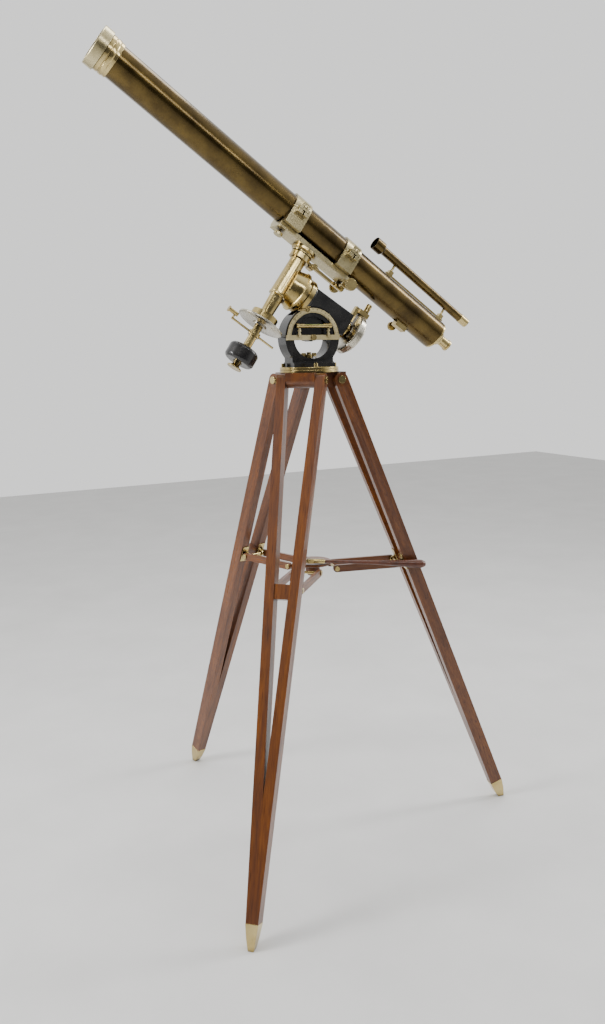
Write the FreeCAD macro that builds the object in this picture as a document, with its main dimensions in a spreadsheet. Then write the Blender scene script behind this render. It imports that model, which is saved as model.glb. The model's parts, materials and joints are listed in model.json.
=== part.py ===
"""Brass refracting telescope on an equatorial mount and a wooden tripod, in millimetres.

The frame: +Z is up, the polar axis rises towards -X, and the floor is Z = 0.
"""
import FreeCAD, Part
import math
import os
import Sketcher

DIMENSIONS = [
    # where the tripod's axis stands, so that the origin is under the middle of the whole object
    ("origin_x", -10.7),
    ("origin_y", -64.0),
    # tripod
    ("head_height", 1316.0),
    ("hinge_radius", 72.0),
    ("hinge_height", 1296.0),
    ("foot_radius", 590.6),
    ("leg_azimuth", -132.63),
    ("stave_depth", 36.0),
    ("stave_outer", 65.0),
    ("stave_inner", 40.5),
    ("stave_foot", 15.5),
    ("stave_meet", 1061.0),
    ("stave_length", 1336.0),
    ("bolt_radius", 6.0),
    ("tongue_half", 39.7),
    ("arm_height", 775.0),
    ("arm_outer", 245.0),
    ("arm_inner", 60.0),
    ("rail_inner", 31.0),
    ("rail_thick", 9.0),
    ("rail_height", 20.0),
    ("pin_radius", 4.0),
    ("tray_radius", 54.0),
    ("tray_thick", 9.0),
    # azimuth plates and base
    ("plate_radius", 80.0),
    ("plate_thick", 7.0),
    ("plate_gap", 0.3),
    ("drum_height", 76.2),
    ("drum_radius", 80.0),
    ("drum_bore", 55.0),
    ("drum_half", 24.0),
    ("cheek_half", 16.0),
    ("arc_inner", 65.0),
    ("arc_outer", 77.0),
    # polar axis
    ("latitude", 35.0),
    ("polar_offset", 79.7),
    ("polar_ahead", 136.4),
    ("polar_shaft", 11.0),
    ("polar_head", 56.0),
    ("hour_radius", 58.0),
    ("running_gap", 0.05),
    # declination axis
    ("dec_shaft", 11.5),
    ("dec_cone_low", 23.0),
    ("dec_cone_high", 20.5),
    ("dec_boss", 37.0),
    ("dec_circle", 64.0),
    ("weight_radius", 41.0),
    ("weight_length", 43.0),
    ("tube_height", 157.0),
    # optical tube
    ("tube_radius", 41.5),
    ("tube_wall", 1.7),
    ("tube_front", 636.0),
    ("tube_tail", 463.0),
    ("cell_radius", 45.5),
    ("spigot_radius", 43.0),
    ("cap_radius", 49.5),
    ("cap_front", 685.0),
    ("lens_radius", 38.0),
    ("draw_radius", 37.0),
    ("socket_radius", 12.25),
    ("eyepiece_outer", 14.0),
    ("ring_length", 50.0),
    ("ring_front", 75.0),
    ("ring_rear", 104.0),
    ("ring_thick", 4.9),
    ("bar_depth", 57.0),
    ("finder_height", 90.0),
    ("finder_radius", 12.0),
]

LEGS = (1, 2, 3)

doc = FreeCAD.newDocument("telescope")
sheet = doc.addObject("Spreadsheet::Sheet", "Dims")
for row, (alias, amount) in enumerate(DIMENSIONS, start=1):
    sheet.set(f"A{row}", alias.replace("_", " "))
    sheet.set(f"B{row}", str(amount))
    sheet.setAlias(f"B{row}", alias)
doc.recompute()


class Size:
    """A length worked out from the sheet: its amount now, and the expression that binds it."""

    def __init__(self, amount, text):
        self.amount = float(amount)
        self.text = text

    def __add__(self, other):
        return Size(self.amount + amount_of(other), f"({self.text} + {text_of(other)})")

    def __sub__(self, other):
        return Size(self.amount - amount_of(other), f"({self.text} - {text_of(other)})")

    def __radd__(self, other):
        return Size(other + self.amount, f"({text_of(other)} + {self.text})")

    def __rsub__(self, other):
        return Size(other - self.amount, f"({text_of(other)} - {self.text})")

    def __mul__(self, other):
        return Size(self.amount * amount_of(other), f"({self.text} * {text_of(other)})")

    def __truediv__(self, other):
        return Size(self.amount / amount_of(other), f"({self.text} / {text_of(other)})")

    def __neg__(self):
        return Size(-self.amount, f"(0 - {self.text})")


def amount_of(size):
    return size.amount if isinstance(size, Size) else float(size)


def text_of(size):
    return size.text if isinstance(size, Size) else repr(float(size))


class Sizes:
    """Every alias of the sheet as a Size."""

    def __init__(self):
        for alias, _ in DIMENSIONS:
            setattr(self, alias, Size(sheet.get(alias), f"Dims.{alias}"))


d = Sizes()
counter = {"made": 0}
sub_parts = []


def fresh(word):
    counter["made"] += 1
    return f"{word}_{counter['made']}"


def bind(target, prop, size):
    """Set a length and, where it comes from the sheet, bind it."""
    if isinstance(size, Size):
        target.setExpression(prop, size.text)


def at(shape, x=0, y=0, z=0, axis=None, angle=0):
    """Place a piece inside its sub-part's own frame."""
    turn = FreeCAD.Rotation(FreeCAD.Vector(*axis), angle) if axis else FreeCAD.Rotation()
    shape.Placement = FreeCAD.Placement(FreeCAD.Vector(*map(amount_of, (x, y, z))), turn)
    for letter, size in zip("xyz", (x, y, z)):
        bind(shape, f"Placement.Base.{letter}", size)
    return shape


def rod(radius, length, axis="z"):
    """A cylinder that starts at its own origin and runs along +x, +y or +z."""
    shape = doc.addObject("Part::Cylinder", fresh("rod"))
    shape.Radius = amount_of(radius)
    shape.Height = amount_of(length)
    bind(shape, "Radius", radius)
    bind(shape, "Height", length)
    turns = {"x": ((0, 1, 0), 90), "y": ((1, 0, 0), -90), "z": ((0, 0, 1), 0)}
    return shape, turns[axis]


def rod_at(radius, length, axis="z", x=0, y=0, z=0):
    shape, (about, angle) = rod(radius, length, axis)
    return at(shape, x, y, z, about, angle)


def cross_rod(radius, half, x=0, z=0):
    """A cylinder along y, as far each side of the middle."""
    return rod_at(radius, half * 2, "y", x, -half, z)


def block(low, high):
    """A box between two corners."""
    shape = doc.addObject("Part::Box", fresh("block"))
    for prop, start, end in zip(("Length", "Width", "Height"), low, high):
        size = end - start if isinstance(end, Size) else (start - end) * -1
        setattr(shape, prop, amount_of(size))
        bind(shape, prop, size)
    return at(shape, *low)


def join(*shapes):
    fused = doc.addObject("Part::MultiFuse", fresh("join"))
    fused.Shapes = list(shapes)
    return fused


def cut(base, *tools):
    result = doc.addObject("Part::Cut", fresh("cut"))
    result.Base = base
    result.Tool = tools[0] if len(tools) == 1 else join(*tools)
    return result


def common(first, second):
    result = doc.addObject("Part::Common", fresh("common"))
    result.Base = first
    result.Tool = second
    return result


def group(*shapes):
    """Several pieces of one kind kept as separate solids."""
    kept = doc.addObject("Part::Compound", fresh("group"))
    kept.Links = list(shapes)
    return kept


def draw_outline(sketch, corners):
    """A closed polygon, each corner held by its distances from the sketch's origin."""
    count = len(corners)
    points = [FreeCAD.Vector(amount_of(x), amount_of(y), 0) for x, y in corners]
    for index in range(count):
        sketch.addGeometry(Part.LineSegment(points[index], points[(index + 1) % count]), False)
    for index in range(count):
        sketch.addConstraint(Sketcher.Constraint("Coincident", index, 2, (index + 1) % count, 1))
    for index, corner in enumerate(corners):
        for kind, size, axis_line in zip(("DistanceX", "DistanceY"), corner, (-2, -1)):
            if abs(amount_of(size)) < 1e-9:
                sketch.addConstraint(Sketcher.Constraint("PointOnObject", index, 1, axis_line))
                continue
            constraint = Sketcher.Constraint(kind, -1, 1, index, 1, amount_of(size))
            number = sketch.addConstraint(constraint)
            bind(sketch, f"Constraints[{number}]", size)


def sketched_body(corners, plane):
    body = doc.addObject("PartDesign::Body", fresh("body"))
    face = [item for item in body.Origin.OriginFeatures if item.Role == plane][0]
    sketch = body.newObject("Sketcher::SketchObject", fresh("sketch"))
    sketch.AttachmentSupport = [(face, "")]
    sketch.MapMode = "FlatFace"
    draw_outline(sketch, corners)
    return body, sketch


def turned(corners):
    """A piece turned about z, from (radius, height) corners."""
    body, sketch = sketched_body(corners, "XZ_Plane")
    feature = body.newObject("PartDesign::Revolution", fresh("turning"))
    feature.Profile = sketch
    feature.ReferenceAxis = (sketch, ["V_Axis"])
    feature.Angle = 360
    return body


def plate(corners, thick, plane="XZ_Plane"):
    """A flat piece: its outline in a plane, as thick each side of that plane."""
    body, sketch = sketched_body(corners, plane)
    feature = body.newObject("PartDesign::Pad", fresh("pad"))
    feature.Profile = sketch
    feature.SideType = "Symmetric"
    feature.Length = amount_of(thick)
    bind(feature, "Length", thick)
    return body


def tube(outer, inner, low, high):
    return turned([(inner, low), (outer, low), (outer, high), (inner, high)])


def name(label, shape, frame=FreeCAD.Placement()):
    """Make a finished shape a sub-part: its label and where it stands."""
    shape.Label = label
    shape.Placement = frame.multiply(shape.Placement)
    sub_parts.append(shape)
    return shape


def framed(x, y, z, rotation=FreeCAD.Rotation()):
    return FreeCAD.Placement(FreeCAD.Vector(*map(amount_of, (x, y, z))), rotation)


def about(axis, angle):
    return FreeCAD.Rotation(FreeCAD.Vector(*axis), angle)


# The frames that the sub-parts are drawn in.
tripod_frame = framed(d.origin_x, d.origin_y, 0)
leg_drop = math.atan2(d.foot_radius.amount - d.hinge_radius.amount, d.hinge_height.amount)
leg_reach = math.hypot(d.foot_radius.amount - d.hinge_radius.amount, d.hinge_height.amount)
tilt = math.radians(d.latitude.amount)
plate_top = d.head_height + d.plate_thick * 2 + d.plate_gap
drum_centre = FreeCAD.Vector(d.origin_x.amount, d.origin_y.amount, (plate_top + d.drum_height).amount)
polar_turn = about((0, 1, 0), d.latitude.amount - 90)
dec_turn = about((0, 1, 0), d.latitude.amount)
# tilted frame: origin at the drum's centre, z up the polar axis, x away from the counterweight
tilted_frame = FreeCAD.Placement(drum_centre, polar_turn)
crossing = tilted_frame.multVec(FreeCAD.Vector(d.polar_offset.amount, 0, d.polar_ahead.amount))
# polar frame: origin where the two axes cross, z up the polar axis, x towards the tube
polar_frame = FreeCAD.Placement(crossing, polar_turn)
# declination frame: the same origin, z towards the tube, x towards the eyepiece
dec_frame = FreeCAD.Placement(crossing, dec_turn)
tube_foot = dec_frame.multVec(FreeCAD.Vector(0, 0, d.tube_height.amount))
# tube frame: origin on the tube's axis, z towards the sky, x away from the mount
tube_frame = FreeCAD.Placement(tube_foot, polar_turn)


def leg_angle(number):
    return d.leg_azimuth.amount - 120 * (number - 1)


def leg_frame(number):
    """Origin at the leg's hinge, z up along the leg, x outwards, y sideways."""
    spin = about((0, 0, 1), leg_angle(number))
    lean = about((0, 1, 0), -math.degrees(leg_drop))
    local = FreeCAD.Placement(FreeCAD.Vector(d.hinge_radius.amount, 0, d.hinge_height.amount), lean)
    return tripod_frame.multiply(FreeCAD.Placement(FreeCAD.Vector(), spin)).multiply(local)


def arm_frame(number):
    """Origin on the tripod's axis at the height of the arm's pivots, x outwards."""
    spin = about((0, 0, 1), leg_angle(number))
    height = FreeCAD.Placement(FreeCAD.Vector(0, 0, d.arm_height.amount), FreeCAD.Rotation())
    return tripod_frame.multiply(FreeCAD.Placement(FreeCAD.Vector(), spin)).multiply(height)


# ---------------------------------------------------------------- tripod head
def make_tripod_head():
    knuckle = 20
    tongues = []
    for number in LEGS:
        spin = leg_angle(number)
        upper = block((0, -d.tongue_half, d.hinge_height), (d.hinge_radius + knuckle, d.tongue_half,
                                                            d.head_height))
        lower = block((0, -d.tongue_half, d.hinge_height - knuckle),
                      (d.hinge_radius, d.tongue_half, d.hinge_height))
        nose = cross_rod(knuckle, d.tongue_half, d.hinge_radius, d.hinge_height)
        bore = cross_rod(d.bolt_radius + d.running_gap, d.tongue_half + 1, d.hinge_radius, d.hinge_height)
        tongue = cut(join(upper, lower, nose), bore)
        tongue.Placement = framed(0, 0, 0, about((0, 0, 1), spin))
        tongues.append(tongue)
    name("head_block", join(*tongues), tripod_frame)
    stud = 6
    low = d.head_height
    top = low + d.plate_thick
    name("head_plate", turned([
        (0, low), (d.plate_radius, low), (d.plate_radius, top - 1), (d.plate_radius - 1, top),
        (stud, top), (stud, top + 46), (0, top + 46)]), tripod_frame)


# ---------------------------------------------------------------- legs and spreader
def stave(side):
    """One of a leg's two staves: they start apart at the hinge and meet low down."""
    outer = d.stave_outer * side
    inner = d.stave_inner * side
    foot = d.stave_foot * side
    face = plate([(outer, 0), (foot, -d.stave_length), (0, -d.stave_length), (0, -d.stave_meet),
                  (inner, 0)], d.stave_depth, "YZ_Plane")
    start = d.stave_inner if side > 0 else -d.stave_outer
    crown = rod_at(d.stave_depth / 2, d.stave_outer - d.stave_inner, "y", 0, start, 0)
    bore = rod_at(d.bolt_radius, d.stave_outer - d.stave_inner + 2, "y", 0, start - 1, 0)
    return cut(join(face, crown), bore)


def gap_half(along):
    """Half the space between a leg's staves at a distance below the hinge."""
    return d.stave_inner * (1 - along / d.stave_meet.amount)


def make_leg(number):
    frame = leg_frame(number)
    block_top = 540
    block_low = 578
    rung = plate([(gap_half(block_top), -block_top), (gap_half(block_low), -block_low),
                  (-gap_half(block_low), -block_low), (-gap_half(block_top), -block_top)], 32, "YZ_Plane")
    name(f"leg_{number}_staves", group(stave(1), stave(-1), rung), frame)

    half = d.stave_depth / 2
    tip = leg_reach
    socket = plate([(half + 1, -d.stave_length), (half - 3, -tip + 26), (6.5, -tip - 8), (-6.5, -tip - 8),
                    (-half + 3, -tip + 26), (-half - 1, -d.stave_length)], 60)
    sides = plate([(d.stave_foot + 1, -d.stave_length), (12, -tip + 26), (6.5, -tip - 8), (-6.5, -tip - 8),
                   (-12, -tip + 26), (-d.stave_foot - 1, -d.stave_length)], 60, "YZ_Plane")
    floor = block((-40, -40, -60), (40, 40, 0))
    floor.Placement = framed(0, 0, -tip, about((0, 1, 0), math.degrees(leg_drop)))
    floor.Placement = floor.Placement.multiply(framed(-40, -40, -60))
    name(f"leg_{number}_shoe", cut(common(socket, sides), floor), frame)

    edge = d.stave_outer
    bolt = join(cross_rod(d.bolt_radius, edge, 0, 0), rod_at(10, 5, "y", 0, edge, 0),
                rod_at(10, 5, "y", 0, -edge - 5, 0))
    pivot = framed(d.arm_outer, 0, d.arm_height)
    at_leg = framed(d.hinge_radius, 0, d.hinge_height, about((0, 1, 0), -math.degrees(leg_drop)))
    place = at_leg.inverse().multiply(pivot).Base
    eyes = []
    for side in (1, -1):
        low = 22 if side > 0 else -30.5
        plate_low = 20.5 if side > 0 else -42
        eye = join(block((place.x, low, place.z - 8), (-half, low + 8.5, place.z + 8)),
                   rod_at(8, 8.5, "y", place.x, low, place.z),
                   block((-half - 3, plate_low, place.z - 24), (-half, plate_low + 21.5, place.z + 24)))
        eyes.append(cut(eye, rod_at(d.pin_radius + d.running_gap, 12, "y", place.x, low - 2, place.z)))
    name(f"leg_{number}_fittings", group(bolt, *eyes), frame)


def make_arm(number):
    frame = arm_frame(number)
    half = d.rail_height / 2
    rails = []
    for side in (1, -1):
        low = d.rail_inner if side > 0 else -d.rail_inner - d.rail_thick
        bar = block((d.arm_inner, low, -half), (d.arm_outer, low + d.rail_thick, half))
        ends = [rod_at(half, d.rail_thick, "y", x, low, 0) for x in (d.arm_inner, d.arm_outer)]
        holes = [rod_at(d.pin_radius, d.rail_thick + 2, "y", x, low - 1, 0)
                 for x in (d.arm_inner, d.arm_outer)]
        rails.append(cut(join(bar, *ends), *holes))
    name(f"arm_{number}_rails", group(*rails), frame)
    edge = d.rail_inner + d.rail_thick
    pins = []
    for x in (d.arm_inner, d.arm_outer):
        pins.append(join(cross_rod(d.pin_radius, edge, x, 0), rod_at(7, 3, "y", x, edge, 0),
                         rod_at(7, 3, "y", x, -edge - 3, 0)))
    name(f"arm_{number}_pins", group(*pins), frame)


def make_spreader_hub():
    frame = tripod_frame.multiply(framed(0, 0, d.arm_height))
    low = d.rail_height / 2 + 0.5
    high = low + d.tray_thick
    tray = turned([(0, low), (d.tray_radius - 2, low), (d.tray_radius, low + 2), (d.tray_radius, high - 2),
                   (d.tray_radius - 2, high), (0, high)])
    boss = turned([(0, -22), (13, -22), (20, -15), (20, 4), (17, low), (0, low)])
    name("spreader_hub", group(tray, boss), frame)
    # the loose slow-motion handle lies on the tray beside the third leg
    lay = frame.multiply(framed(0, 0, high + 9.0, about((0, 0, 1), leg_angle(3))))
    turn = about((0, 0, 1), -3.5).multiply(about((0, 1, 0), 95))
    handle_frame = lay.multiply(framed(-35, -47.3, 3, turn))
    name("slow_handle", turned([
        (0, 44), (3.9, 44), (3.9, 57), (4.5, 60), (4.2, 110), (6.0, 215), (9.5, 280), (12.2, 318), (11.4, 336),
        (7.0, 346), (0, 348)]), handle_frame)
    fork = join(turned([(0, 22), (6, 22), (6.5, 26), (6.5, 52), (5.2, 56), (0, 56)]),
                block((-6, -6.5, 8), (6, -3.3, 24)), block((-6, 3.3, 8), (6, 6.5, 24)),
                rod_at(2.2, 17, "y", 0, -8.5, 12))
    name("handle_fork", cut(fork, rod_at(3.9, 45, "z", 0, 0, 44)), handle_frame)
    socket = join(turned([(0, -14), (6.4, -14), (7, -12), (7, -1), (5, 2), (0, 2)]),
                  block((-4.5, -3.0, 0), (4.5, 3.0, 16.5)))
    hollow = rod_at(3.5, 14, "z", 0, 0, -15)
    pin_bore = rod_at(2.2 + d.running_gap.amount, 10, "y", 0, -5, 12)
    name("handle_socket", cut(socket, hollow, pin_bore), handle_frame)


# ---------------------------------------------------------------- azimuth base
def make_base():
    low = d.head_height + d.plate_thick + d.plate_gap
    stud_bore = 6.05
    ring = [(stud_bore, low), (d.plate_radius - 0.5, low), (d.plate_radius - 0.5, plate_top - 1),
            (d.plate_radius - 1.5, plate_top), (stud_bore, plate_top)]
    bolt_circle = 71
    places = []
    for index in range(4):
        angle = math.radians(index * 90 + 77.5)
        places.append((bolt_circle * math.cos(angle), bolt_circle * math.sin(angle)))
    holes = [rod_at(4, 20, "z", x, y, plate_top - 12) for x, y in places]
    name("azimuth_plate", cut(turned(ring), *holes), tripod_frame)
    bolts = []
    for x, y in places:
        bolts.append(join(rod_at(4, d.plate_thick, "z", x, y, plate_top - d.plate_thick),
                          rod_at(5.5, 10, "z", x, y, plate_top)))

    frame = FreeCAD.Placement(drum_centre, FreeCAD.Rotation())
    low = -d.drum_height
    foot_half = 61
    depth = d.drum_half
    drum = cross_rod(d.drum_radius, depth)
    under = block((-d.drum_radius, -60, low - 60), (d.drum_radius, 60, low))
    pedestal = block((-foot_half, -depth, low), (foot_half, depth, -50))
    ledge = plate([(-34, low), (34, low), (34, low + 9), (depth, low + 14), (-depth, low + 14),
                   (-34, low + 9)], foot_half * 2, "YZ_Plane")
    # the drum is slotted between two cheeks, where the polar housing's neck swings
    reach = 140
    left = reach * math.tan(math.radians(48))
    right = reach * math.tan(math.radians(-4))
    gap = plate([(0, 0), (reach, right), (reach, left), (-reach, left)], d.cheek_half * 2)
    name("base_casting", cut(join(drum, pedestal, ledge), cross_rod(d.drum_bore, depth + 20), under, gap,
                             rod_at(stud_bore, 40, "z", 0, 0, low - 1)), frame)

    # wing nut on the central stud
    seat = -d.drum_bore + 1.5
    wing_low = seat + 4
    wing_high = seat + 14
    nut = join(turned([(stud_bore, seat), (12, seat), (11, seat + 10), (stud_bore, seat + 10)]),
               block((9, -2, wing_low), (22, 2, wing_high)), block((-22, -2, wing_low), (-9, 2, wing_high)))
    name("azimuth_nut", nut, frame)

    # graduated arc and bar on the drum's front, the axle that the housing tilts on
    front = -depth
    thick = 5
    arc = cut(rod_at(d.arc_outer, thick, "y", 0, front - thick, 0),
              rod_at(d.arc_inner, thick + 2, "y", 0, front - thick - 1, 0),
              block((-90, front - 10, -90), (90, front + 5, -4)))
    bar = block((-d.drum_radius + 1, front - thick - 1, -6), (d.drum_radius - 1, front, 7))
    axle_bore = rod_at(d.pin_radius + 1, 30, "y", 0, front - 20, 0)
    level = 31
    posts = [rod_at(radius, tall, "z", x, front - 7, foot) for x in (-43, 43)
             for radius, foot, tall in ((3.5, 2, level - 8.6), (5, 7, 4), (5, 16, 4))]
    studs = [rod_at(3.2, 3, "y", x, front - thick - 2, 49) for x in (-50, 50)]
    name("latitude_arc", cut(join(arc, bar, *posts, *studs), axle_bore), frame)
    rear_bar = cut(block((-d.drum_radius + 3, depth, -6), (d.drum_radius - 3, depth + 5, 8)),
                   rod_at(d.pin_radius + 1, 30, "y", 0, depth - 5, 0))
    axle = join(cross_rod(d.pin_radius + 1, depth + 6), rod_at(8, 3, "y", 0, depth + 6, 0),
                rod_at(8, 3, "y", 0, front - 9, 0))
    name("base_fasteners", group(*bolts_at_drum(bolts), axle, rear_bar), frame)

    # spirit level on its two posts
    middle = front - 7
    half = 52
    case = join(rod_at(5.5, half * 2, "x", -half, middle, level), rod_at(6.5, 8, "x", -half, middle, level),
                rod_at(6.5, 8, "x", half - 8, middle, level))
    window = block((-28, middle - 8, level + 2), (28, middle + 8, level + 8))
    name("level_case", cut(case, rod_at(4.0, 84, "x", -42, middle, level), window), frame)
    name("level_vial", group(rod_at(4.0, 84, "x", -42, middle, level)), frame)


def bolts_at_drum(bolts):
    """The plate's bolts, moved from the tripod's frame to the drum's."""
    down = (plate_top + d.drum_height) * -1
    return [at(bolt, 0, 0, down) for bolt in bolts]


# ---------------------------------------------------------------- polar axis
def make_polar_housing():
    axis = d.polar_offset
    ahead = d.polar_ahead
    body = plate([(axis + 35, ahead - 76), (axis + 41, ahead - 209), (axis - 23, ahead - 209),
                  (axis - 47, ahead - 76)], 46)
    collar = rod_at(46, 6, "z", axis, 0, ahead - 76)
    room = cross_rod(d.drum_radius + 1.5, 40)
    # the half-round web inside the drum, flat along the horizontal at rest, and the neck above it
    half = d.cheek_half - 0.5
    level = d.latitude.amount
    web = cut(cross_rod(d.drum_bore - 0.7, half), turned_box(level, (-80, 80), (-80, -6)))
    spread = 140
    wide = spread * math.tan(math.radians(47.5))
    sector = plate([(0, 0), (spread, wide), (spread, -wide)], half * 2)
    sector.Placement = framed(0, 0, 0, about((0, 1, 0), 26.5 - level))
    reach = d.drum_radius + 6
    neck = common(sector, common(cross_rod(reach, half), block((0, -40, -100), (120, 40, ahead - 76))))
    hub = cross_rod(10, half)
    shell = join(cut(join(body, collar), room), neck, web, hub)
    bore = rod_at(d.polar_shaft + d.running_gap, 200, "z", axis, 0, ahead - 240)
    axle = cross_rod(d.pin_radius + 1 + d.running_gap, 40)
    name("polar_housing", cut(shell, bore, axle), tilted_frame)


def turned_box(angle, across, upright):
    """A box that is level and upright when the housing stands at the rest latitude."""
    shape = block((across[0], -40, upright[0]), (across[1], 40, upright[1]))
    low = FreeCAD.Vector(across[0], -40, upright[0])
    turn = about((0, 1, 0), 90 - angle)
    shape.Placement = FreeCAD.Placement(turn.multVec(low), turn)
    return shape


def make_polar_axis():
    shaft = d.polar_shaft
    bore = shaft + d.running_gap
    drum_room = cross_rod(d.drum_radius + 1.5, 60, -d.polar_offset, -d.polar_ahead)
    ring = 50
    clamp_x = -44
    clamp_z = -63.5
    pinch = rod_at(3 + d.running_gap, 45.6, "y", clamp_x, -70, clamp_z)
    upper = cut(tube(ring, bore, -69.7, -57.5), drum_room, pinch)
    lower = turned([(bore, -222), (21, -222), (23, -217), (27, -213), (27, -209), (bore, -209)])
    name("polar_bearings", group(upper, lower), polar_frame)
    clamp = join(rod_at(3, 45.5, "y", clamp_x, -70, clamp_z), rod_at(7, 6, "y", clamp_x, -76, clamp_z),
                 block((clamp_x - 8, -80, clamp_z - 1.7), (clamp_x + 8, -76, clamp_z + 1.7)))
    name("polar_clamp", clamp, polar_frame)

    head = d.polar_head
    dome = turned([(0, -258), (shaft, -258), (shaft, -57.2), (head - 10, -57.2), (head - 10, -44),
                   (head, -44), (head, -39), (head - 3, -37), (head - 7, -22), (head - 13, -6), (0, -6)])
    name("polar_head", cut(dome, dec_cone_tool()), polar_frame)
    rim = d.hour_radius
    hour = turned([(shaft, -250), (rim - 8, -250), (rim - 6, -247), (rim - 6, -243), (rim, -243),
                   (rim, -228), (rim - 3, -225), (24, -225), (24, -222.5), (shaft, -222.5)])
    name("hour_circle", hour, polar_frame)
    # worm and its knob in a box on the housing's lower end, above the hour circle
    box_low = d.hour_radius + 1.5
    worm_box = join(block((box_low, -12, -254), (box_low + 14, 12, -221)),
                    block((27.5, -7, -221), (box_low + 14, 7, -209)))
    spindle = rod_at(4 + d.running_gap, 20, "x", box_low + 3, 0, -244)
    name("worm_box", cut(worm_box, spindle), polar_frame)
    knob = join(rod_at(4, 14, "x", box_low + 4, 0, -244), rod_at(7.5, 24, "x", box_low + 17, 0, -244))
    name("worm_knob", knob, polar_frame)


def dec_cone_tool():
    """The declination housing's outside, as a tool in the polar frame."""
    tool = turned([(0, -80), (24, -80), (24, -37), (d.dec_cone_low, -37), (d.dec_cone_high, 86), (0, 86)])
    tool.Placement = framed(0, 0, 0, about((0, 1, 0), 90))
    return tool


# ---------------------------------------------------------------- declination axis
def make_dec_axis():
    shaft = d.dec_shaft
    bore = shaft + d.running_gap
    name("dec_housing", turned([
        (bore, -126), (d.dec_boss, -126), (d.dec_boss, -102), (17, -102), (19, -44), (24, -43), (24, -38),
        (d.dec_cone_low, -37), (d.dec_cone_high, 86), (bore, 86)]), dec_frame)
    saddle_low = d.tube_height - d.bar_depth
    name("dec_shaft", turned([
        (0, -262), (6, -262), (6, -251), (shaft, -251), (shaft, 86.3), (29, 86.3), (29, 92), (34, 93), (34, saddle_low),
        (0, saddle_low)]), dec_frame)
    name("dec_circle", turned([
        (shaft, -138), (20, -138), (20, -134), (d.dec_circle - 8, -134), (d.dec_circle, -131),
        (d.dec_circle, -127), (shaft, -127)]), dec_frame)
    weight = d.weight_radius
    top = -205
    low = top - d.weight_length.amount
    name("counterweight", turned([
        (bore, low), (weight - 6, low), (weight, low + 6), (weight, top - 6), (weight - 6, top),
        (bore, top)]), dec_frame)
    name("end_nut", turned([
        (0, -266), (20, -266), (20, -262.5), (13, -259), (9.5, -255), (9.5, -251.3), (6.05, -251.3),
        (6.05, -262.3), (0, -262.3)]), dec_frame)
    collar = tube(16, bore, -168, -156)
    arm = rod_at(3, 139, "x", -75, 0, -162)
    lens = join(rod_at(2.5, 15, "z", -72, 0, -162), rod_at(5.5, 28, "x", -92, 0, -147),
                rod_at(8, 3, "x", -94, 0, -147))
    name("reader_arm", cut(join(collar, arm, lens), rod_at(bore, 60, "z", 0, 0, -190)), dec_frame)

    # clamp arm below the saddle, with the cross screw at its far end
    sleeve = tube(28, 21.4, 70, 84)
    beam = block((25, -5, 76), (150, 5, 84))
    cross_x = 145
    cross_z = 93
    eye = join(rod_at(8, 20, "y", cross_x, -10, cross_z), block((138, -5, 80), (152, 5, cross_z)))
    cross_bore = rod_at(4.3, 60, "y", cross_x, -30, cross_z)
    grip_x = 38
    grip_z = 72.3
    lug = block((grip_x - 8, -9, grip_z - 4.3), (grip_x + 8, 9, 77))
    clamp_bore = rod_at(3 + d.running_gap, 40, "y", grip_x, -20, grip_z)
    name("clamp_arm", cut(join(sleeve, beam, eye, lug), rod_at(21.4, 40, "z", 0, 0, 60), cross_bore,
                          clamp_bore), dec_frame)
    screw = join(rod_at(3, 34, "y", grip_x, -26, grip_z), rod_at(8, 6, "y", grip_x, -32, grip_z),
                 block((grip_x - 12, -35, grip_z - 2), (grip_x + 12, -32, grip_z + 2)))
    name("dec_clamp", screw, dec_frame)
    thread = join(cross_rod(4, 46, cross_x, cross_z), rod_at(16, 8, "y", cross_x, -50, cross_z),
                  rod_at(15, 8, "y", cross_x, 42, cross_z))
    name("tangent_screw", thread, dec_frame)


# ---------------------------------------------------------------- cradle
def ring_block(middle):
    """A ring's lower half: a flat-sided block bored for the tube."""
    half = d.ring_length / 2
    low = middle - half
    high = middle + half
    floor = -(d.bar_depth - 13)
    body = block((floor, -48, low), (-0.6, 46, high))
    lug = block((-10, -64, low + 10), (-0.6, -40, high - 10))
    notch = block((-20, -70, middle - 3.6), (10, -53.4, middle + 3.6))
    knuckles = [rod_at(5, 12, "z", 0, 52, start) for start in (low, high - 12)]
    webs = [block((-5, 40, start), (-0.6, 52, start + 12)) for start in (low, high - 12)]
    pin = rod_at(2, d.ring_length, "z", 0, 52, low)
    return cut(join(body, lug, *knuckles, *webs, pin), rod_at(d.tube_radius + 0.1, 400, "z", 0, 0, -200), notch)


def make_cradle():
    floor = -(d.bar_depth - 13)
    bar = block((-d.bar_depth, -30, -131), (floor, 30, 103))
    bracket = block((-d.bar_depth, -26, -140), (floor, 26, -131))
    lugs = [block((-73, y - 3, -154), (-d.bar_depth + 4, y + 3, -131)) for y in (-21, 21)]
    bore = rod_at(4.05, 70, "y", -64, -35, -145)
    thumb = join(rod_at(4, 6, "x", -d.bar_depth - 6, 0, 84), rod_at(12, 8, "x", -d.bar_depth - 14, 0, 84))
    saddle = cut(join(bar, bracket, *lugs), bore)
    name("saddle_bar", group(saddle, ring_block(d.ring_front), ring_block(-d.ring_rear), thumb), tube_frame)
    for label, middle in (("front", d.ring_front), ("rear", -d.ring_rear)):
        make_ring_strap(label, middle)


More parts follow.
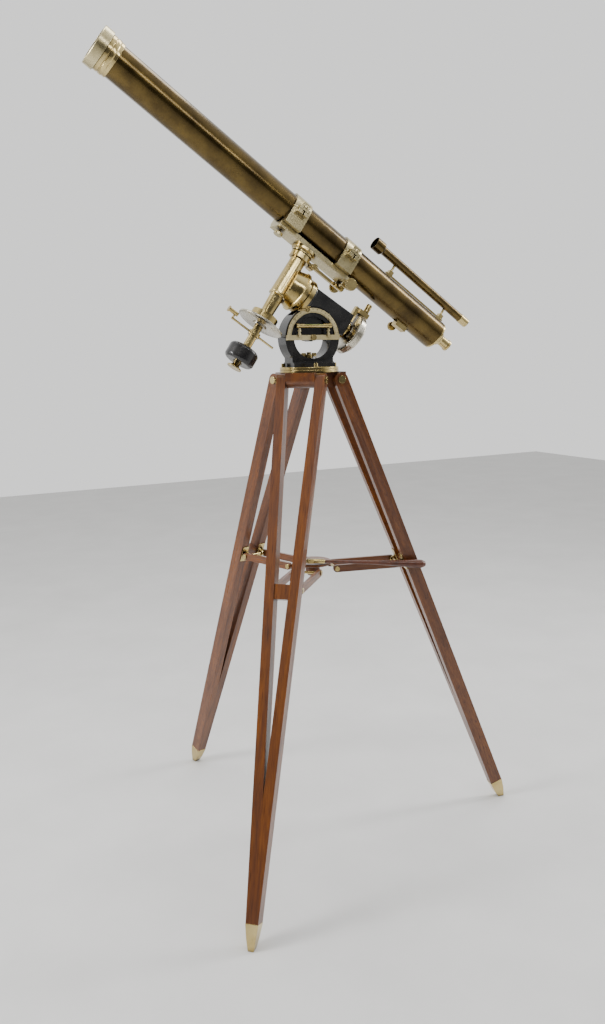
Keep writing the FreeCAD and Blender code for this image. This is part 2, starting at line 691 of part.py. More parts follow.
def make_ring_strap(label, middle):
    half = d.ring_length / 2
    low = middle - half
    outer = d.tube_radius + d.ring_thick
    hoop = rod_at(outer, d.ring_length, "z", 0, 0, low)
    below = block((-60, -60, low - 5), (0.6, 60, low + d.ring_length + 5))
    lug = block((0.6, -64, low + 10), (8, -40, low + d.ring_length - 10))
    knuckle = rod_at(5, d.ring_length - 24.8, "z", 0, 52, low + 12.4)
    web = block((0.6, 42, low + 12.4), (5, 52, low + d.ring_length - 12.4))
    hole = rod_at(3, 40, "x", -20, -57.5, middle)
    pin_bore = rod_at(2.05, d.ring_length, "z", 0, 52, low)
    strap = cut(join(cut(hoop, below), lug, knuckle, web),
                rod_at(d.tube_radius + 0.1, 400, "z", 0, 0, -200), hole, pin_bore)
    name(f"ring_strap_{label}", strap, tube_frame)
    screw = join(rod_at(3, 19.5, "x", -9.5, -57.5, middle), rod_at(9, 6, "x", 8.2, -57.5, middle),
                 block((12, -59, middle - 11), (22, -56, middle + 11)))
    name(f"ring_screw_{label}", screw, tube_frame)


# ---------------------------------------------------------------- optical tube
def make_tube():
    radius = d.tube_radius
    inner = radius - d.tube_wall
    barrel = tube(radius, inner, -d.tube_tail, d.tube_front)
    slot = block((-radius - 2, -6, -382), (-radius + 6, 6, -328))
    name("main_tube", cut(barrel, slot), tube_frame)
    front = d.tube_front
    cell = d.cell_radius
    spigot = d.spigot_radius
    lens = d.lens_radius
    name("objective_cell", turned([
        (radius, front - 8), (44, front - 8), (44, front), (cell, front + 2), (cell, front + 10),
        (44, front + 11), (44, front + 13), (cell, front + 14), (cell, front + 23), (spigot, front + 23),
        (spigot, front + 44), (lens, front + 44), (lens, front + 22), (36, front + 22), (36, front),
        (radius, front)]), tube_frame)
    crown = turned([(0, front + 32.2), (lens, front + 32.2), (lens, front + 36), (28, front + 38.6),
                    (14, front + 40.1), (0, front + 40.6)])
    flint = turned([(0, front + 25), (lens, front + 25), (lens, front + 32), (0, front + 32)])
    name("objective_lens", group(crown, flint), tube_frame)
    cap = d.cap_radius
    lip = 41
    name("dew_cap", turned([
        (spigot + 0.05, front + 24), (cap, front + 24), (cap, d.cap_front - 1.5), (cap - 1.5, d.cap_front),
        (lip, d.cap_front), (lip, front + 44.5), (spigot + 0.05, front + 44.5)]), tube_frame)

    draw = d.draw_radius
    tail = -d.tube_tail
    inside = draw - 1.6
    drawn = turned([
        (inside, tail - 0.2), (inside, tail + 170), (draw, tail + 170), (draw, tail - 0.4),
        (41, tail - 0.4), (41, tail - 6), (30, tail - 8), (30, tail - 13), (22, tail - 19), (20, tail - 24),
        (d.eyepiece_outer + d.running_gap, tail - 24), (d.eyepiece_outer + d.running_gap, tail - 0.4)])
    rack = block((-draw - 2.2, -4, tail + 8), (-draw + 0.5, 4, tail + 168))
    name("drawtube", cut(join(drawn, rack), rod_at(inside, 160, "z", 0, 0, tail + 5)), tube_frame)
    outer = d.eyepiece_outer
    end = tail - 60
    name("eyepiece_tube", turned([
        (d.socket_radius, end), (outer + 2.5, end), (outer + 2.5, end + 6), (outer, end + 7),
        (outer, tail + 30), (d.socket_radius, tail + 30)]), tube_frame)

    # pinion under the tube, in a box, with its milled head on the far side
    pinion_x = -46
    box = cut(block((-55, -11, -374), (-38, 11, -336)), rod_at(radius, 100, "z", 0, 0, -400),
              rod_at(7.4, 14, "y", pinion_x, -7, -355), rod_at(3.05, 60, "y", pinion_x, -9.2, -355))
    name("pinion_box", box, tube_frame)
    pinion = join(rod_at(3, 46, "y", pinion_x, -9, -355), rod_at(6.4, 11, "y", pinion_x, -5.5, -355),
                  rod_at(12, 10, "y", pinion_x, 36, -355))
    name("focus_pinion", pinion, tube_frame)


def make_finder():
    height = d.finder_height
    radius = d.finder_radius
    frame = tube_frame.multiply(framed(height, 0, 0))
    bore = radius - 1.2
    name("finder_tube", turned([
        (bore, -510), (radius, -510), (radius, -196), (18, -190), (18, -162), (16.5, -162),
        (16.5, -189.4), (bore, -195.4)]), frame)
    sleeve = bore - d.running_gap
    name("finder_eyepiece", turned([
        (4, -540), (12.8, -540), (12.8, -510.3), (sleeve, -510.3), (sleeve, -490), (9, -490), (9, -537),
        (4, -537)]), frame)
    low = d.tube_radius + 5
    rail = cut(block((d.tube_radius - 2, -9, -461), (low, 9, -232)),
               rod_at(d.tube_radius, 400, "z", 0, 0, -500))
    pieces = [rail]
    for middle in (-452, -248):
        foot = block((low, -7, middle - 7), (low + 12, 7, middle + 7))
        post = cut(rod_at(3.5, 24, "x", low + 10, 0, middle), rod_at(radius, 16, "z", height, 0, middle - 8))
        pieces.append(join(foot, post))
    name("finder_mount", group(*pieces), tube_frame)


def check_and_export():
    doc.recompute()
    os.makedirs("parts", exist_ok=True)
    failed = [item.Name for item in doc.Objects if "Invalid" in item.State or "Error" in item.State]
    if failed:
        raise RuntimeError(f"objects failed: {failed}")
    for item in sub_parts:
        if item.Shape.isNull() or not item.Shape.isValid() or not item.Shape.Solids:
            raise RuntimeError(f"{item.Label} has no valid shape")
    for item in sub_parts:
        item.Shape.exportStep(f"parts/{item.Label}.step")


make_tripod_head()
for leg_number in LEGS:
    make_leg(leg_number)
    make_arm(leg_number)
make_spreader_hub()
make_base()
make_polar_housing()
make_polar_axis()
make_dec_axis()
make_cradle()
make_tube()
make_finder()
check_and_export()
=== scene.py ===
import json
import math

import bmesh
import bpy
from mathutils import Matrix, Vector


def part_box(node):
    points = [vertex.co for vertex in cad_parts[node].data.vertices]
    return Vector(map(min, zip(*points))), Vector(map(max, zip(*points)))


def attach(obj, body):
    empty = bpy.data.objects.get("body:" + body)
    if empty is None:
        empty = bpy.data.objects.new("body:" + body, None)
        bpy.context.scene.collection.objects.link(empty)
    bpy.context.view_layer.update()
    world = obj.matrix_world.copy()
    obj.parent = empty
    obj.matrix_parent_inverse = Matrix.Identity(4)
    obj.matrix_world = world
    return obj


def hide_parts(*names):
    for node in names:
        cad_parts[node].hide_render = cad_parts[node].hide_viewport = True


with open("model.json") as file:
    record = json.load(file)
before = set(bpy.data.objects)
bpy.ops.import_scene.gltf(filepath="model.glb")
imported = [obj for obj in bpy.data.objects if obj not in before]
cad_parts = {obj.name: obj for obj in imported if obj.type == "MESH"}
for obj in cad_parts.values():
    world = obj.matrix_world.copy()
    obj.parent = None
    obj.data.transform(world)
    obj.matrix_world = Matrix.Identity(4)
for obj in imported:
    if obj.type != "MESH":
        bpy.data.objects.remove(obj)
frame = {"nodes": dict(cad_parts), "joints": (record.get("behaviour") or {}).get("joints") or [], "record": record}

MM = 0.001
ACROSS = Vector((0, 1, 0))

# the Mix node's sockets when it mixes colours
MIX_FACTOR, MIX_FIRST, MIX_SECOND, MIX_RESULT = 0, 6, 7, 2

# the marked faces in mm: radii from each axis, heights along it, and the latitude arc's face behind its front
ARC_FACE_DEPTH, ARC_LINES_START, ARC_FIGURES = 7, 66, 73.6
HOUR_RIM, HOUR_LINES_START = 58, -242
DEC_INNER, DEC_OUTER, DEC_LOW, DEC_RISE = 56, 64, -134, 3

# the objective in mm: the height of its flint's lower rim, its edge radius, and the curve of each face
OBJECTIVE_HEIGHT, OBJECTIVE_EDGE = 661, 37.9
SHALLOW_CURVE, DEEP_CURVE = 900, 170

# the camera that matches the photograph: angles in degrees, the place in metres
CAMERA_PLACE = (-1.1163, -2.2245, 1.3689)
HEADING, LOOK_DOWN, ROLL = -26.5, 10.187, -1.139
CAMERA_LENS = 31.25

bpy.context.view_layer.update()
nodes = frame["nodes"]
record = frame["record"]
slot_of = {part["node"]: part["material_slot"] for part in record["subparts"]}
body_of = {node: body for body, members in record["behaviour"]["bodies"].items() for node in members}
joints = {joint["name"]: joint for joint in frame["joints"]}
mount_at = {mount["name"]: Vector(mount["pos_m"]) for mount in record["mounts"]}


# ---------------------------------------------------------------- frames
def standing(place, up, side=ACROSS):
    """A frame with its z along up and its y along side."""
    z = Vector(up).normalized()
    x = Vector(side).cross(z).normalized()
    turn = Matrix((x, z.cross(x), z)).transposed().to_4x4()
    return Matrix.Translation(Vector(place)) @ turn


def on_joint(joint_name):
    """A frame at a joint, its z along the joint's axis."""
    joint = joints[joint_name]
    axis = Vector(joint["axis"])
    side = Vector((1, 0, 0)) if abs(axis.y) > 0.9 else ACROSS
    return standing(joint["pos_m"], axis, side)


polar_frame = standing(joints["polar"]["pos_m"], joints["polar"]["axis"])
dec_frame = standing(joints["declination"]["pos_m"], joints["declination"]["axis"])
drum_frame = Matrix.Translation(Vector(joints["latitude"]["pos_m"]))
dec_gap = (dec_frame.inverted() @ mount_at["eyepiece_socket"]).z
tube_foot = dec_frame @ Vector((0, 0, dec_gap))
tube_frame = standing(tube_foot, joints["polar"]["axis"])


# ---------------------------------------------------------------- materials
class Look:
    """A procedural material, built round one Principled shader."""

    def __init__(self, name, **constants):
        self.material = bpy.data.materials.new(name)
        self.material.use_nodes = True
        self.tree = self.material.node_tree
        self.shader = self.tree.nodes["Principled BSDF"]
        for socket_name, amount in constants.items():
            self.shader.inputs[socket_name.replace("_", " ")].default_value = amount
        coordinates = self.tree.nodes.new("ShaderNodeTexCoord")
        self.place = coordinates.outputs["Object"]

    def link(self, source, target):
        """Join an output to an input."""
        self.tree.links.new(source, target)

    def feed(self, socket_name, source):
        """Join an output to a socket of the shader."""
        self.link(source, self.shader.inputs[socket_name])

    def mapped(self, turn=(0, 0, 0), scale=(1, 1, 1), source=None):
        """Coordinates turned and stretched, the piece's own if no others are given."""
        node = self.tree.nodes.new("ShaderNodeMapping")
        node.inputs["Rotation"].default_value = turn
        node.inputs["Scale"].default_value = scale
        self.link(source or self.place, node.inputs["Vector"])
        return node.outputs["Vector"]

    def noise(self, scale, detail=3, rough=0.55, source=None, distortion=0):
        """A factor from 3-D noise."""
        node = self.tree.nodes.new("ShaderNodeTexNoise")
        node.inputs["Scale"].default_value = scale
        node.inputs["Detail"].default_value = detail
        node.inputs["Roughness"].default_value = rough
        node.inputs["Distortion"].default_value = distortion
        self.link(source or self.place, node.inputs["Vector"])
        return node.outputs["Fac"]

    def ramp(self, factor, *stops):
        """A colour from a factor, by (position, colour) stops."""
        node = self.tree.nodes.new("ShaderNodeValToRGB")
        elements = node.color_ramp.elements
        while len(elements) < len(stops):
            elements.new(0.5)
        for element, (where, colour) in zip(elements, stops):
            element.position = where
            element.color = (*colour, 1)
        self.link(factor, node.inputs["Fac"])
        return node.outputs["Color"]

    def between(self, factor, low, high):
        """The factor moved to run from low to high."""
        node = self.tree.nodes.new("ShaderNodeMapRange")
        node.inputs["From Min"].default_value = 0.3
        node.inputs["From Max"].default_value = 0.7
        node.inputs["To Min"].default_value = low
        node.inputs["To Max"].default_value = high
        self.link(factor, node.inputs["Value"])
        return node.outputs["Result"]

    def mix(self, factor, first, second, blend="MIX"):
        """Two colours, each an output or a constant, blended by a factor."""
        node = self.tree.nodes.new("ShaderNodeMix")
        node.data_type = "RGBA"
        node.blend_type = blend
        self.link(factor, node.inputs[MIX_FACTOR])
        for socket_number, source in ((MIX_FIRST, first), (MIX_SECOND, second)):
            if isinstance(source, tuple):
                node.inputs[socket_number].default_value = (*source, 1)
            else:
                self.link(source, node.inputs[socket_number])
        return node.outputs[MIX_RESULT]

    def crevice(self, reach):
        """Painted shade: bright in the open, dark where surfaces meet."""
        node = self.tree.nodes.new("ShaderNodeAmbientOcclusion")
        node.samples = 4
        node.inputs["Distance"].default_value = reach
        return node.outputs["AO"]

    def bump(self, height, strength, distance, under=None):
        """A normal raised by a height, over another bump if one is given."""
        node = self.tree.nodes.new("ShaderNodeBump")
        node.inputs["Strength"].default_value = strength
        node.inputs["Distance"].default_value = distance
        self.link(height, node.inputs["Height"])
        if under:
            self.link(under, node.inputs["Normal"])
        return node.outputs["Normal"]


def metal(name, light, dark, smooth, worn, shade_tint=(0.05, 0.03, 0.012)):
    """Lacquered metal: patches of tarnish, turning marks, and painted shade where pieces meet."""
    look = Look(name, Metallic=1.0, Coat_Weight=0.25, Coat_Roughness=0.12)
    patches = look.noise(14, 4, 0.6)
    spots = look.noise(140, 2, 0.5)
    tone = look.ramp(patches, (0.32, dark), (0.62, light))
    spotted = look.ramp(spots, (0.28, (0.35, 0.3, 0.22)), (0.42, (1, 1, 1)))
    # painted shade: ambient occlusion blends the colour towards a dark shade tint where pieces meet
    crevice = look.ramp(look.crevice(0.012), (0.3, (0, 0, 0)), (0.85, (1, 1, 1)))
    toned = look.mix(look.between(patches, 0.35, 0.1), tone, spotted, "MULTIPLY")
    look.feed("Base Color", look.mix(crevice, shade_tint, toned))
    scuffs = look.noise(55, 5, 0.65, distortion=0.4)
    look.feed("Roughness", look.between(scuffs, smooth, worn))
    hairlines = look.noise(90, 2, 0.5, look.mapped(turn=(0.3, 0.6, 0.2), scale=(1, 9, 30)))
    look.feed("Normal", look.bump(hairlines, 0.02, 0.0001, look.bump(patches, 0.02, 0.0003)))
    return look.material


def mahogany(name, along, light=(0.27, 0.088, 0.015), dark=(0.085, 0.024, 0.005)):
    """Varnished mahogany with its grain along one direction."""
    look = Look(name, Coat_Weight=0.3, Coat_Roughness=0.16, IOR=1.45)
    turn = Vector(along).to_track_quat("X", "Z").inverted().to_euler()
    lengthwise = look.mapped(turn=turn)
    figure = look.noise(7, 5, 0.6, look.mapped(scale=(0.6, 7, 7), source=lengthwise), 0.8)
    fibre = look.noise(60, 3, 0.6, look.mapped(scale=(0.35, 14, 14), source=lengthwise))
    pores = look.noise(240, 1, 0.4, look.mapped(scale=(0.08, 6, 6), source=lengthwise))
    halfway = tuple((a + b) / 2 for a, b in zip(light, dark))
    body = look.ramp(figure, (0.3, dark), (0.52, halfway), (0.72, light))
    streaked = look.mix(look.between(fibre, 0.55, 0), body, (0.05, 0.012, 0.006))
    open_grain = look.ramp(pores, (0.33, (0, 0, 0)), (0.42, (1, 1, 1)))
    pored = look.mix(open_grain, (0.03, 0.008, 0.004), streaked)
    # painted shade: ambient occlusion darkens the wood's colour where pieces meet
    crevice = look.ramp(look.crevice(0.02), (0.2, (0.25, 0.2, 0.18)), (0.8, (1, 1, 1)))
    look.feed("Base Color", look.mix(look.between(fibre, 0.9, 1), pored, crevice, "MULTIPLY"))
    look.feed("Roughness", look.between(figure, 0.42, 0.26))
    look.feed("Normal", look.bump(pores, 0.12, 0.0003, look.bump(fibre, 0.1, 0.0004)))
    return look.material


def black_enamel():
    """Stove enamel over a casting: glossy, with a faint orange peel and a little dust."""
    look = Look("black_enamel", Coat_Weight=0.35, Coat_Roughness=0.08, IOR=1.45)
    dust = look.noise(22, 5, 0.65)
    look.feed("Base Color", look.ramp(dust, (0.35, (0.006, 0.006, 0.007)), (0.75, (0.022, 0.02, 0.018))))
    look.feed("Roughness", look.between(dust, 0.16, 0.34))
    peel = look.noise(260, 2, 0.5)
    look.feed("Normal", look.bump(peel, 0.06, 0.0004, look.bump(dust, 0.08, 0.0015)))
    return look.material


def lens_glass():
    """Clear crown glass with faint smears."""
    look = Look("lens_glass", Transmission_Weight=1.0, IOR=1.52, Coat_Weight=0.3)
    smears = look.noise(30, 4, 0.6)
    look.feed("Base Color", look.ramp(smears, (0.35, (0.86, 0.92, 0.95)), (0.65, (0.97, 0.99, 1.0))))
    look.feed("Roughness", look.between(smears, 0.0, 0.03))
    return look.material


def spirit_glass():
    """The level's vial, seen as its yellow-green liquid."""
    look = Look("spirit_glass", Transmission_Weight=0.6, IOR=1.4, Coat_Weight=0.8)
    liquid = look.noise(60, 2, 0.5)
    look.feed("Base Color", look.ramp(liquid, (0.3, (0.5, 0.62, 0.1)), (0.7, (0.75, 0.85, 0.3))))
    look.feed("Roughness", look.between(liquid, 0.02, 0.06))
    return look.material


def engraving_wax():
    """Black wax in the engraved lines and numbers."""
    look = Look("engraving_wax", Specular_IOR_Level=0.3)
    crumbs = look.noise(900, 2, 0.5)
    look.feed("Base Color", look.ramp(crumbs, (0.3, (0.008, 0.007, 0.006)), (0.7, (0.03, 0.026, 0.022))))
    look.feed("Roughness", look.between(crumbs, 0.5, 0.8))
    return look.material


def pale_floor():
    """Matt pale boards, a little uneven in tone."""
    look = Look("pale_floor")
    mottle = look.noise(3, 4, 0.6)
    look.feed("Base Color", look.ramp(mottle, (0.3, (0.60, 0.595, 0.585)), (0.7, (0.66, 0.655, 0.645))))
    look.feed("Roughness", look.between(mottle, 0.65, 0.8))
    return look.material


looks = {
    "golden_brass": metal("golden_brass", (0.62, 0.49, 0.22), (0.42, 0.31, 0.11), 0.12, 0.26),
    "satin_brass": metal("satin_brass", (0.6, 0.52, 0.3), (0.43, 0.36, 0.18), 0.22, 0.36),
    # the bronzed brass's last colour is the tint of its painted shade where pieces meet
    "bronzed_brass": metal("bronzed_brass", (0.13, 0.086, 0.024), (0.055, 0.035, 0.01), 0.2, 0.28,
                           (0.01, 0.006, 0.003)),
    "silvered_brass": metal("silvered_brass", (0.68, 0.65, 0.56), (0.5, 0.46, 0.36), 0.18, 0.34),
    "black_casting": black_enamel(),
    "optical_glass": lens_glass(),
    "spirit_glass": spirit_glass(),
    "mahogany": mahogany("mahogany_head", (1, 0.3, 0)),
}
wax = engraving_wax()


def leg_line(number):
    """The direction from a leg's hinge to its foot."""
    return mount_at[f"foot_{number}"] - Vector(joints[f"leg_{number}_fold"]["pos_m"])


look_of = {node: looks[slot] for node, slot in slot_of.items()}
for leg in (1, 2, 3):
    down = leg_line(leg)
    look_of[f"leg_{leg}_staves"] = mahogany(f"mahogany_leg_{leg}", down)
    look_of[f"arm_{leg}_rails"] = mahogany(f"mahogany_rail_{leg}", (down.x, down.y, 0))
handle_low, handle_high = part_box("slow_handle")
handle_span = handle_high - handle_low
look_of["slow_handle"] = mahogany("mahogany_handle", (handle_span.x, handle_span.y, -handle_span.z),
                                  light=(0.2, 0.05, 0.012), dark=(0.05, 0.012, 0.004))
# the latitude arc's brass is paler than the golden brass, partly as painted light for the light its front face
# catches; its higher roughness is a satin finish
look_of["latitude_arc"] = metal("engraved_brass_with_painted_light", (0.72, 0.62, 0.36), (0.55, 0.46, 0.24), 0.38, 0.5)
look_of["spreader_hub"] = mahogany("mahogany_tray", (1, -0.4, 0))


# ---------------------------------------------------------------- pieces
def new_piece(name, shape, body, material):
    """A finished bmesh as a piece that rides on a body."""
    mesh = bpy.data.meshes.new(name)
    shape.to_mesh(mesh)
    shape.free()
    mesh.materials.append(material)
    piece = bpy.data.objects.new(name, mesh)
    bpy.context.collection.objects.link(piece)
    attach(piece, body)
    return piece


def smooth(piece, angle):
    """Smooth shading up to an angle between faces, in degrees."""
    for face in piece.data.polygons:
        face.use_smooth = True
    with bpy.context.temp_override(object=piece, active_object=piece, selected_editable_objects=[piece]):
        bpy.ops.object.shade_smooth_by_angle(angle=math.radians(angle))


def finished(node, width, segments=2):
    """A CAD node with its sharp edges eased by a width in mm, as a hand-finished piece has them."""
    shape = bmesh.new()
    shape.from_mesh(nodes[node].data)
    bmesh.ops.remove_doubles(shape, verts=shape.verts, dist=1e-6)
    bmesh.ops.dissolve_limit(shape, angle_limit=math.radians(0.3), verts=shape.verts, edges=shape.edges,
                             delimit=set())
    piece = new_piece(f"{node}_finished", shape, body_of[node], look_of[node])
    smooth(piece, 28)
    ease = piece.modifiers.new("eased_edges", "BEVEL")
    ease.width = width * MM
    ease.segments = segments
    ease.limit_method = "ANGLE"
    ease.angle_limit = math.radians(32)
    ease.harden_normals = True
    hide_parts(node)
    return piece


def skin(shape, rings):
    """Faces between each ring of vertices and the next, the last ring meeting the first."""
    for ring, following in zip(rings, rings[1:] + rings[:1]):
        for index in range(len(ring)):
            after = (index + 1) % len(ring)
            shape.faces.new((ring[index], following[index], following[after], ring[after]))


def lathe(outline, sides=128):
    """A closed (radius, height) outline in mm turned about z."""
    shape = bmesh.new()
    rings = []
    for step in range(sides):
        angle = 2 * math.pi * step / sides
        rings.append([shape.verts.new((r * MM * math.cos(angle), r * MM * math.sin(angle), z * MM))
                      for r, z in outline])
    skin(shape, rings)
    bmesh.ops.remove_doubles(shape, verts=shape.verts, dist=1e-7)
    bmesh.ops.recalc_face_normals(shape, faces=shape.faces)
    return shape


def milled_band(name, joint_name, along, radius, teeth, slot="golden_brass"):
    """The milled grip round a knob that turns on a joint, its ends at two heights in mm."""
    shape = bmesh.new()
    low, high = along
    inset, ease, proud, sunk, cut_depth = 0.3, 0.7, 0.5, 1, 0.55
    # (radius, height, whether the grooves cut it)
    outline = [(radius - sunk, low + inset, 0), (radius, low + inset, 0),
               (radius + proud, low + ease, 1), (radius + proud, high - ease, 1),
               (radius, high - inset, 0), (radius - sunk, high - inset, 0)]
    steps_per_tooth = 4
    count = teeth * steps_per_tooth
    rings = []
    for step in range(count):
        angle = 2 * math.pi * step / count
        groove = cut_depth if step % steps_per_tooth == 0 else 0.0
        rings.append([shape.verts.new(((r - groove * cut) * MM * math.cos(angle),
                                       (r - groove * cut) * MM * math.sin(angle), z * MM))
                      for r, z, cut in outline])
    skin(shape, rings)
    bmesh.ops.recalc_face_normals(shape, faces=shape.faces)
    shape.transform(on_joint(joint_name))
    return new_piece(name, shape, joints[joint_name]["child"], looks[slot])


def stroke(shape, place, width, length, depth=0.12):
    """One graduation line, its middle at place, its length along the local y."""
    size = Matrix.Diagonal((width * MM, length * MM, depth * MM, 1))
    bmesh.ops.create_cube(shape, size=1, matrix=place @ size)


def figure(shape, text, place, height):
    """A small number, its middle at place, upright along the local y."""
    curve = bpy.data.curves.new("figure", "FONT")
    curve.body = text
    curve.size = height * MM
    curve.extrude = 0.06 * MM
    curve.align_x = "CENTER"
    curve.align_y = "CENTER"
    writer = bpy.data.objects.new("figure", curve)
    bpy.context.collection.objects.link(writer)
    mesh = bpy.data.meshes.new_from_object(writer.evaluated_get(bpy.context.evaluated_depsgraph_get()))
    mesh.transform(place)
    shape.from_mesh(mesh)
    bpy.data.objects.remove(writer)
    bpy.data.meshes.remove(mesh)


def turned_about(axis, degrees):
    """A turn about one of the local axes."""
    return Matrix.Rotation(math.radians(degrees), 4, axis)


# edges eased by more than the usual, in mm; the wide ones are rounded in more steps
USUAL_EASE, WIDE_EASE = 0.5, 2
EASE = {"counterweight": 3.0, "base_casting": 1.2, "polar_housing": 4.0, "polar_head": 1.0,
        "spreader_hub": 1.5, "head_block": 2.0}
for leg in (1, 2, 3):
    EASE[f"leg_{leg}_staves"] = 2.0
    EASE[f"arm_{leg}_rails"] = 1.5
    EASE[f"leg_{leg}_shoe"] = 1.0
GLASS = ("objective_lens", "level_vial")
for node in nodes:
    if node not in GLASS:
        width = EASE.get(node, USUAL_EASE)
        finished(node, width, segments=4 if width >= WIDE_EASE else 2)
nodes["level_vial"].data.materials.clear()
nodes["level_vial"].data.materials.append(looks["spirit_glass"])


# ---------------------------------------------------------------- milled heads
milled_band("tangent_head_near", "tangent_spin", along=(-50, -42), radius=16, teeth=72)
milled_band("tangent_head_far", "tangent_spin", along=(42, 50), radius=15, teeth=68)
milled_band("focus_head", "pinion_spin", along=(36, 46), radius=12, teeth=56)
milled_band("worm_head", "worm_spin", along=(-1.5, 22.5), radius=7.5, teeth=40)
milled_band("polar_clamp_head", "polar_clamp_spin", along=(-76, -70), radius=7, teeth=34)
milled_band("dec_clamp_head", "dec_clamp_spin", along=(-32, -26), radius=8, teeth=38)
for ring in ("front", "rear"):
    milled_band(f"thumb_head_{ring}", f"thumb_{ring}_spin", along=(0.2, 6.2), radius=9, teeth=42,
                slot="satin_brass")


# ---------------------------------------------------------------- graduations
def latitude_marks():
    """Degrees on the front of the latitude arc, numbered every ten."""
    front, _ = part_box("latitude_arc")
    face = (front.y - drum_frame.translation.y) / MM + ARC_FACE_DEPTH
    shape = bmesh.new()
    for degree in range(10, 171):
        long = 4.5 if degree % 10 == 0 else 3.2 if degree % 5 == 0 else 2.0
        turn = drum_frame @ turned_about("Y", degree - 90)
        middle = Matrix.Translation((0, face * MM, (ARC_LINES_START + long / 2) * MM))
        stroke(shape, turn @ middle @ turned_about("X", 90), 0.3, long)
        if degree % 10 == 0:
            spot = Matrix.Translation((0, face * MM, ARC_FIGURES * MM))
            number = str(min(degree, 180 - degree))
            figure(shape, number, turn @ spot @ turned_about("X", 90), 4.2)
    new_piece("latitude_marks", shape, body_of["latitude_arc"], wax)


def rim_marks(name, node, base, radius, height, every, numbered, labels):
    """Lines along the axis round a circle's rim, from a height in mm; every few of them are numbered."""
    shape = bmesh.new()
    count = 360 // every
    for index in range(count):
        major = index % numbered == 0
        long = 4.0 if major else 2.4
        turn = base @ turned_about("Z", index * every)
        stroke(shape, turn @ Matrix.Translation((radius * MM, 0, (height + long / 2) * MM))
               @ turned_about("Y", 90) @ turned_about("Z", 90), 0.35, long)
        if major:
            spot = turn @ Matrix.Translation((radius * MM, 0, (height + 7) * MM))
            number = str(labels[index // numbered])
            figure(shape, number, spot @ turned_about("Z", 90) @ turned_about("X", 90), 4)
    new_piece(name, shape, body_of[node], wax)


def face_marks():
    """Degrees on the sloping face of the declination circle."""
    shape = bmesh.new()
    slope = math.degrees(math.atan2(DEC_RISE, DEC_OUTER - DEC_INNER))
    for degree in range(0, 360, 2):
        long = 4.6 if degree % 10 == 0 else 2.8
        middle = DEC_OUTER - 0.8 - long / 2
        height = DEC_LOW + DEC_RISE * (middle - DEC_INNER) / (DEC_OUTER - DEC_INNER)
        spot = Matrix.Translation((middle * MM, 0, height * MM))
        lean = turned_about("Y", -slope) @ turned_about("Z", 90)
        stroke(shape, dec_frame @ turned_about("Z", degree) @ spot @ lean, 0.3, long)
    new_piece("declination_marks", shape, body_of["dec_circle"], wax)


latitude_marks()
rim_marks("hour_marks", "hour_circle", polar_frame, HOUR_RIM, HOUR_LINES_START,
          every=3, numbered=5, labels=range(1, 25))
face_marks()


# ---------------------------------------------------------------- objective
def sagitta(radius, curve):
    """How far a face of one curve falls away at a radius; its sign is that of the curve."""
    return curve - math.copysign(math.sqrt(curve * curve - radius * radius), curve)


def lens_element(edge, low, high, curve_low, curve_high, steps=16):
    """A lens from its edge radius, the heights of its rim, and the bulge of each face in mm."""
    shape_points = []
    for index in range(steps + 1):
        radius = edge * index / steps
        shape_points.append((radius, low - sagitta(edge, curve_low) + sagitta(radius, curve_low)))
    for index in range(steps, -1, -1):
        radius = edge * index / steps
        shape_points.append((radius, high + sagitta(edge, curve_high) - sagitta(radius, curve_high)))
    return lathe(shape_points)


def objective():
    """The crown and the flint element in one glass piece."""
    flint_top, crown_low, crown_top = (OBJECTIVE_HEIGHT + rise for rise in (7, 7.2, 11))
    crown = lens_element(OBJECTIVE_EDGE, crown_low, crown_top, SHALLOW_CURVE, DEEP_CURVE)
    flint = lens_element(OBJECTIVE_EDGE, OBJECTIVE_HEIGHT, flint_top, -SHALLOW_CURVE, SHALLOW_CURVE)
    carrier = bpy.data.meshes.new("flint")
    flint.to_mesh(carrier)
    flint.free()
    crown.from_mesh(carrier)
    bpy.data.meshes.remove(carrier)
    crown.transform(tube_frame)
    piece = new_piece("objective_glass", crown, body_of["objective_lens"],
                      looks["optical_glass"])
    smooth(piece, 30)
    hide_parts("objective_lens")


objective()


# ---------------------------------------------------------------- floor, camera and lights
bpy.ops.mesh.primitive_plane_add(size=14, location=(0, 0, 0))
floor = bpy.context.object
floor.name = "floor"
floor.data.materials.append(pale_floor())

camera_data = bpy.data.cameras.new("camera")
camera = bpy.data.objects.new("camera", camera_data)
bpy.context.collection.objects.link(camera)
camera_data.lens = CAMERA_LENS
camera.rotation_mode = "QUATERNION"
aim = turned_about("Z", HEADING) @ turned_about("X", 90 - LOOK_DOWN) @ turned_about("Z", ROLL)
camera.location = CAMERA_PLACE
camera.rotation_quaternion = aim.to_quaternion()
bpy.context.scene.camera = camera


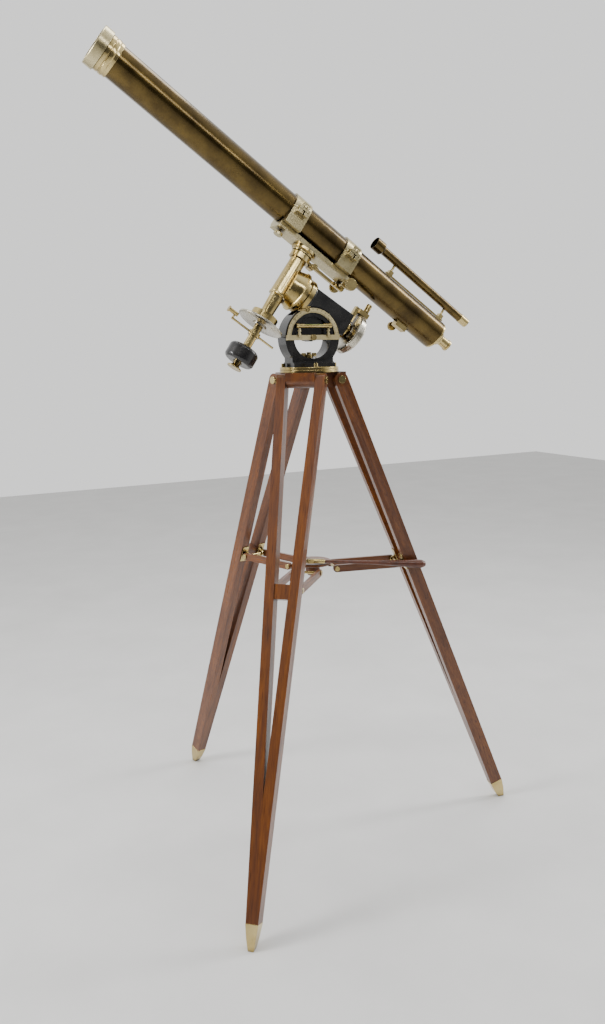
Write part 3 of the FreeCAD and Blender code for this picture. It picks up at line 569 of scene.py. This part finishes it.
def area_light(name, place, target, power, width, height, along=(0, 0, 1)):
    """A panel of light facing its target, its height along a direction: watts and metres."""
    data = bpy.data.lights.new(name, "AREA")
    data.energy = power
    data.shape = "RECTANGLE"
    data.size = width
    data.size_y = height
    lamp = bpy.data.objects.new(name, data)
    bpy.context.collection.objects.link(lamp)
    back = (Vector(place) - Vector(target)).normalized()
    side = Vector(along).cross(back).normalized()
    lamp.rotation_mode = "QUATERNION"
    lamp.location = place
    lamp.rotation_quaternion = Matrix((side, back.cross(side), back)).transposed().to_quaternion()


middle = (0, 0, 1.3)
tube_line = Vector(joints["polar"]["axis"])
area_light("window", (-3.4, 0.3, 2.6), middle, power=120, width=1.0, height=2.4)
area_light("strip", (3.2, -0.6, 2.6), middle, power=70, width=0.6, height=2.4)
area_light("ceiling", (0.3, 0.6, 4.2), middle, power=60, width=2.6, height=1.2, along=(0, 1, 0))
area_light("batten", (-0.3, -2.75, 3.4), (-0.25, -0.06, 1.85), power=42, width=0.4, height=3.8,
           along=tube_line)


def studio_world():
    """Plain pale walls to look at; in reflections, the side of the room behind the camera is dim."""
    world = bpy.data.worlds.new("studio")
    bpy.context.scene.world = world
    world.use_nodes = True
    tree = world.node_tree
    sky = tree.nodes["Background"]
    sky.inputs["Strength"].default_value = 1.15
    coordinates = tree.nodes.new("ShaderNodeTexCoord")
    facing = tree.nodes.new("ShaderNodeVectorMath")
    facing.operation = "DOT_PRODUCT"
    heading = math.radians(HEADING)
    behind = Vector((math.sin(heading), -math.cos(heading), -0.1)).normalized()
    facing.inputs[1].default_value = behind
    shade = tree.nodes.new("ShaderNodeValToRGB")
    shade.color_ramp.interpolation = "EASE"
    for element, (where, grey) in zip(shade.color_ramp.elements, ((0.05, 1.0), (0.75, 0.1))):
        element.position = where
        element.color = (grey, grey, grey * 0.99, 1)
    tree.links.new(coordinates.outputs["Generated"], facing.inputs[0])
    tree.links.new(facing.outputs["Value"], shade.inputs["Fac"])
    path = tree.nodes.new("ShaderNodeLightPath")
    seen = tree.nodes.new("ShaderNodeMix")
    seen.data_type = "RGBA"
    seen.inputs[MIX_SECOND].default_value = (1, 1, 0.99, 1)
    tree.links.new(path.outputs["Is Camera Ray"], seen.inputs[MIX_FACTOR])
    tree.links.new(shade.outputs["Color"], seen.inputs[MIX_FIRST])
    tree.links.new(seen.outputs[MIX_RESULT], sky.inputs["Color"])


studio_world()
